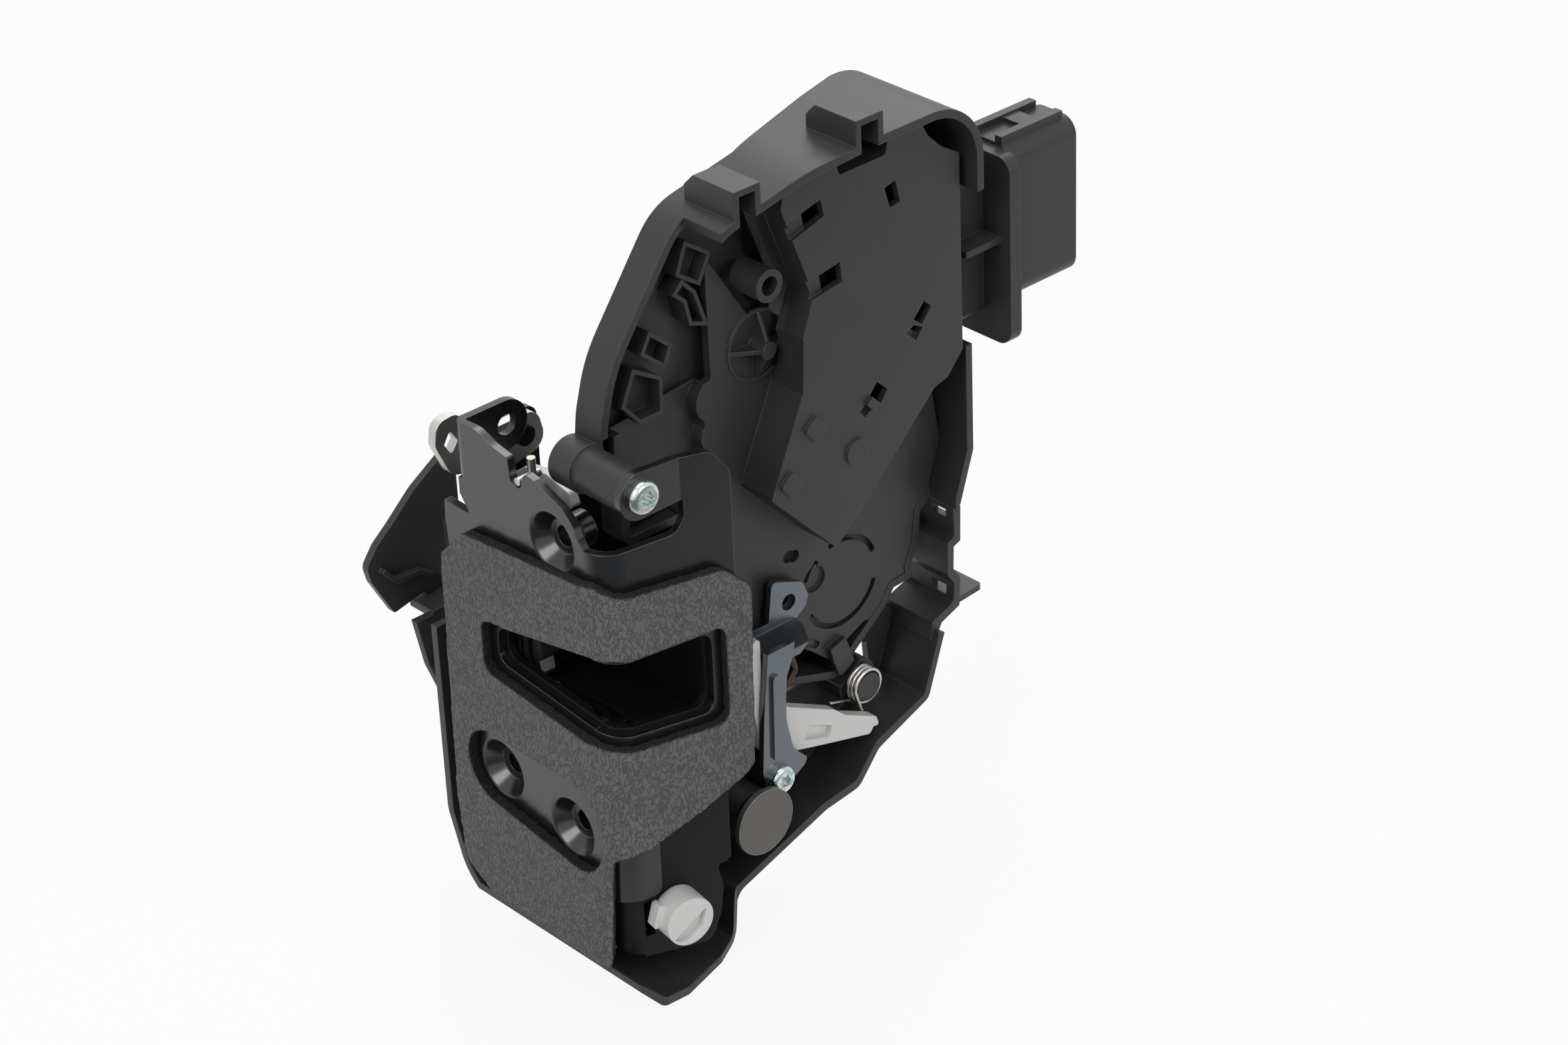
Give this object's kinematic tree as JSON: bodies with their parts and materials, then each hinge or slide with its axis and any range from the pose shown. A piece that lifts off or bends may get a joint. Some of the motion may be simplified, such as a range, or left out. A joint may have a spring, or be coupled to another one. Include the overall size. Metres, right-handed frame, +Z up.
{
  "type": "door latch actuator",
  "caption": "Vehicle door latch with a bent steel striker plate and foam pad, beside a black lock drive housing with a side connector, levers and a child lock knob.",
  "frame": {"origin": "centre of the upper threaded hole, at the outer face of its dimple's floor", "axes": "+Z up; -X out of the plate's shut face, the way its screws leave; -Y out of the drive's cover"},
  "size_m": [0.1634, 0.0851, 0.1985],
  "materials": {
    "black_steel": "satin black electrocoat",
    "foam": "matt closed-cell foam",
    "black_plastic": "fine matt moulded",
    "white_plastic": "natural acetal",
    "claw_rubber": "matt",
    "bare_steel": "bare",
    "bracket_steel": "blue-black satin",
    "zinc": "zinc, satin",
    "screw_zinc": "bright zinc",
    "stud_steel": "dull grey",
    "spring_steel": "drawn wire",
    "wire": "dark brown",
    "board": "lacquered",
    "contact": "plated",
    "worm_wheel": "moulded"
  },
  "bodies": {
    "frame": {"latch_plate": "black_steel", "foam_seal": "foam", "latch_housing": "black_plastic", "latch_backplate": "black_steel", "claw_pin": "bare_steel", "claw_spring": "spring_steel", "pawl_pin": "bare_steel", "pawl_spring": "spring_steel", "actuator_housing": "black_plastic", "actuator_cover": "black_plastic", "connector_carrier": "black_plastic", "terminal_pins": "contact", "back_shell": "black_plastic", "support_bracket": "bracket_steel", "bracket_screw": "screw_zinc", "housing_screw": "screw_zinc", "release_lever_pin": "bare_steel", "lever_spring": "spring_steel", "pivot_stud": "stud_steel", "wire_hook": "wire", "outside_lever_bracket": "black_steel", "link_lever_pin": "bare_steel", "notch_pin": "bare_steel", "lock_motor": "bare_steel", "circuit_board": "board"},
    "claw": {"claw": "bare_steel", "claw_overmould": "claw_rubber"},
    "pawl": {"pawl": "bare_steel"},
    "child_lock": {"child_lock_knob": "white_plastic"},
    "release_lever": {"release_lever": "white_plastic"},
    "outside_lever": {"outside_release_lever": "zinc"},
    "link_lever": {"link_lever": "white_plastic"},
    "worm": {"motor_worm": "bare_steel"},
    "wheel": {"worm_wheel": "worm_wheel"}
  },
  "joints": [
    {"name": "claw_hinge", "type": "hinge", "parent": "frame", "child": "claw", "pos_m": [0.0046, 0.022, -0.018], "axis": [1, 0, 0], "range_deg": [0, 42], "stiffness_Nm_per_rad": 0.05, "springref_deg": -20.05, "deforming": ["claw_spring"]},
    {"name": "pawl_hinge", "type": "hinge", "parent": "frame", "child": "pawl", "pos_m": [0.0046, 0.02, -0.0555], "axis": [1, 0, 0], "range_deg": [0, 10], "stiffness_Nm_per_rad": 0.03, "deforming": ["pawl_spring"]},
    {"name": "child_lock_turn", "type": "hinge", "parent": "frame", "child": "child_lock", "pos_m": [0.01052, -0.01875, -0.0966], "axis": [-0.1564, -0.9877, 0], "range_deg": [0, 60]},
    {"name": "release_lever_hinge", "type": "hinge", "parent": "frame", "child": "release_lever", "pos_m": [0.0505, -0.0095, -0.0705], "axis": [0, -1, 0], "range_deg": [0, 18], "stiffness_Nm_per_rad": 0.02, "springref_deg": -17.19, "deforming": ["lever_spring"]},
    {"name": "outside_lever_hinge", "type": "hinge", "parent": "frame", "child": "outside_lever", "pos_m": [0.022, 0.04125, 0.001], "axis": [0, -1, 0], "range_deg": [0, 15]},
    {"name": "link_lever_hinge", "type": "hinge", "parent": "frame", "child": "link_lever", "pos_m": [0.0085, 0.0225, -0.0014], "axis": [1, 0, 0], "range_deg": [0, 12]},
    {"name": "wheel_turn", "type": "hinge", "parent": "frame", "child": "wheel", "pos_m": [0.0786, 0.0027, -0.0447], "axis": [0, 1, 0], "range_deg": [-40, 40]},
    {"name": "worm_spin", "type": "hinge", "parent": "frame", "child": "worm", "pos_m": [0.0936, 0.0027, -0.0447], "axis": [0, 0, 1], "range_deg": [-880, 880]}
  ],
  "couplings": [
    {"joint": "worm_spin", "follows": "wheel_turn", "ratio": 22}
  ]
}
